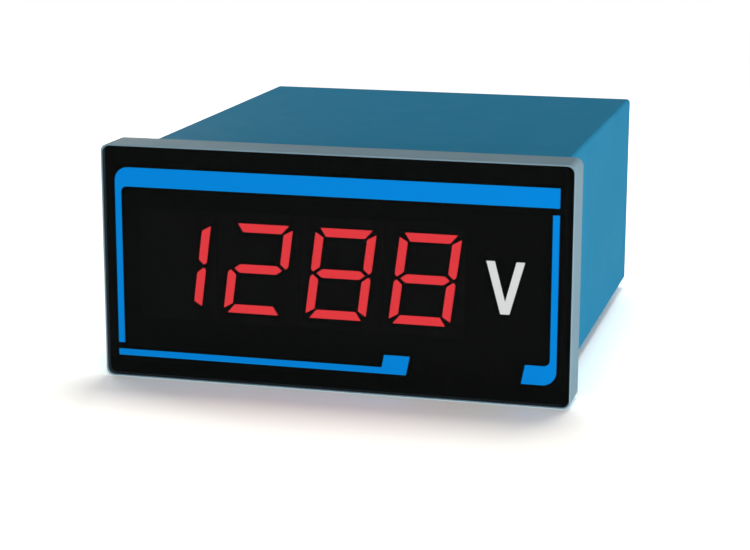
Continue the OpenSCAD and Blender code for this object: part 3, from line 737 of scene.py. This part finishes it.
def threaded_shaft(shape, centre_x, centre_z, point_y, seat_y):
    """Cuts a thread from a screw's point to its head's seat, as a profile spun up a helix."""
    turns = math.ceil((seat_y - point_y) / thread_pitch) + 2
    start_y = point_y - thread_pitch
    profile = [
        (thread_root, 0),
        (thread_crest, (thread_pitch - crest_width) / 2),
        (thread_crest, (thread_pitch + crest_width) / 2),
        (thread_root, thread_pitch),
    ]
    points = [
        shape.verts.new((centre_x + radius, start_y + rise, centre_z)) for radius, rise in profile
    ]
    lines = [shape.edges.new(pair) for pair in zip(points, points[1:])]
    bmesh.ops.spin(
        shape,
        geom=points + lines,
        cent=(centre_x, start_y, centre_z),
        axis=(0, 1, 0),
        dvec=(0, thread_pitch / steps_a_turn, 0),
        angle=2 * math.pi * turns,
        steps=steps_a_turn * turns,
    )
    bmesh.ops.remove_doubles(shape, verts=shape.verts, dist=thread_weld)
    for cut_y, side in ((point_y, 1), (seat_y, -1)):
        bmesh.ops.bisect_plane(
            shape,
            geom=shape.verts[:] + shape.edges[:] + shape.faces[:],
            plane_co=(centre_x, cut_y, centre_z),
            plane_no=(0, side, 0),
            clear_inner=True,
        )
    bmesh.ops.holes_fill(shape, edges=shape.edges, sides=0)
    bmesh.ops.recalc_face_normals(shape, faces=shape.faces)


for number in range(1, terminal_count + 1):
    screw_node = f"terminal_screw_{number}"
    saddle_node = f"terminal_saddle_{number}"
    screw_low, screw_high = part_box(screw_node)
    head_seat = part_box(saddle_node)[1].y
    centre = (screw_low + screw_high) / 2

    head = rounded_copy(screw_node, round_over=edge_radius)
    head_shape = bmesh.new()
    head_shape.from_mesh(head.data)
    bmesh.ops.bisect_plane(
        head_shape,
        geom=head_shape.verts[:] + head_shape.edges[:] + head_shape.faces[:],
        plane_co=(0, head_seat + under_head, 0),
        plane_no=(0, 1, 0),
        clear_inner=True,
    )
    bmesh.ops.holes_fill(head_shape, edges=head_shape.edges, sides=0)
    head_shape.to_mesh(head.data)
    head_shape.free()
    dress(head, bright_zinc, screw_node)

    shaft_shape = bmesh.new()
    threaded_shaft(shaft_shape, centre.x, centre.z, screw_low.y, head_seat + thread_lap)
    shaft_mesh = bpy.data.meshes.new(f"terminal_thread_{number}")
    shaft_shape.to_mesh(shaft_mesh)
    shaft_shape.free()
    shaft = bpy.data.objects.new(f"terminal_thread_{number}", shaft_mesh)
    bpy.context.collection.objects.link(shaft)
    dress(shaft, bright_zinc, screw_node)

    saddle = rounded_copy(saddle_node, round_over=edge_radius)
    dress(saddle, zinc_saddle, saddle_node)


# ---------- Terminal numbers ----------
# White numbers printed on the rear cover, one over each terminal, that read from behind
# the panel.
number_height = 3.2 * mm
number_gap = 1.6 * mm
figure_share = 0.7  # a figure's height as a share of its type size
cover_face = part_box("rear_cover")[1].y
number_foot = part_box("terminal_block")[1].z + number_gap

for number in range(1, terminal_count + 1):
    label_curve = bpy.data.curves.new(f"terminal_number_{number}", "FONT")
    label_curve.body = str(number)
    label_curve.size = number_height / figure_share
    label_curve.align_x = "CENTER"
    label_curve.extrude = ink_film / 2
    label_text = bpy.data.objects.new("label_text", label_curve)
    bpy.context.collection.objects.link(label_text)
    bpy.context.view_layer.update()
    label_mesh = bpy.data.meshes.new_from_object(
        label_text.evaluated_get(bpy.context.evaluated_depsgraph_get())
    )
    bpy.data.objects.remove(label_text)
    screw_low, screw_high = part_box(f"terminal_screw_{number}")
    label_place = Vector(((screw_low.x + screw_high.x) / 2, cover_face + ink_film / 2, number_foot))
    face_back = Matrix.Rotation(math.pi, 4, "Z") @ Matrix.Rotation(math.pi / 2, 4, "X")
    label_mesh.transform(Matrix.Translation(label_place) @ face_back)
    label_mesh.materials.clear()
    label_mesh.materials.append(white_ink)
    label = bpy.data.objects.new(f"terminal_number_{number}", label_mesh)
    bpy.context.collection.objects.link(label)
    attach(label, "meter")
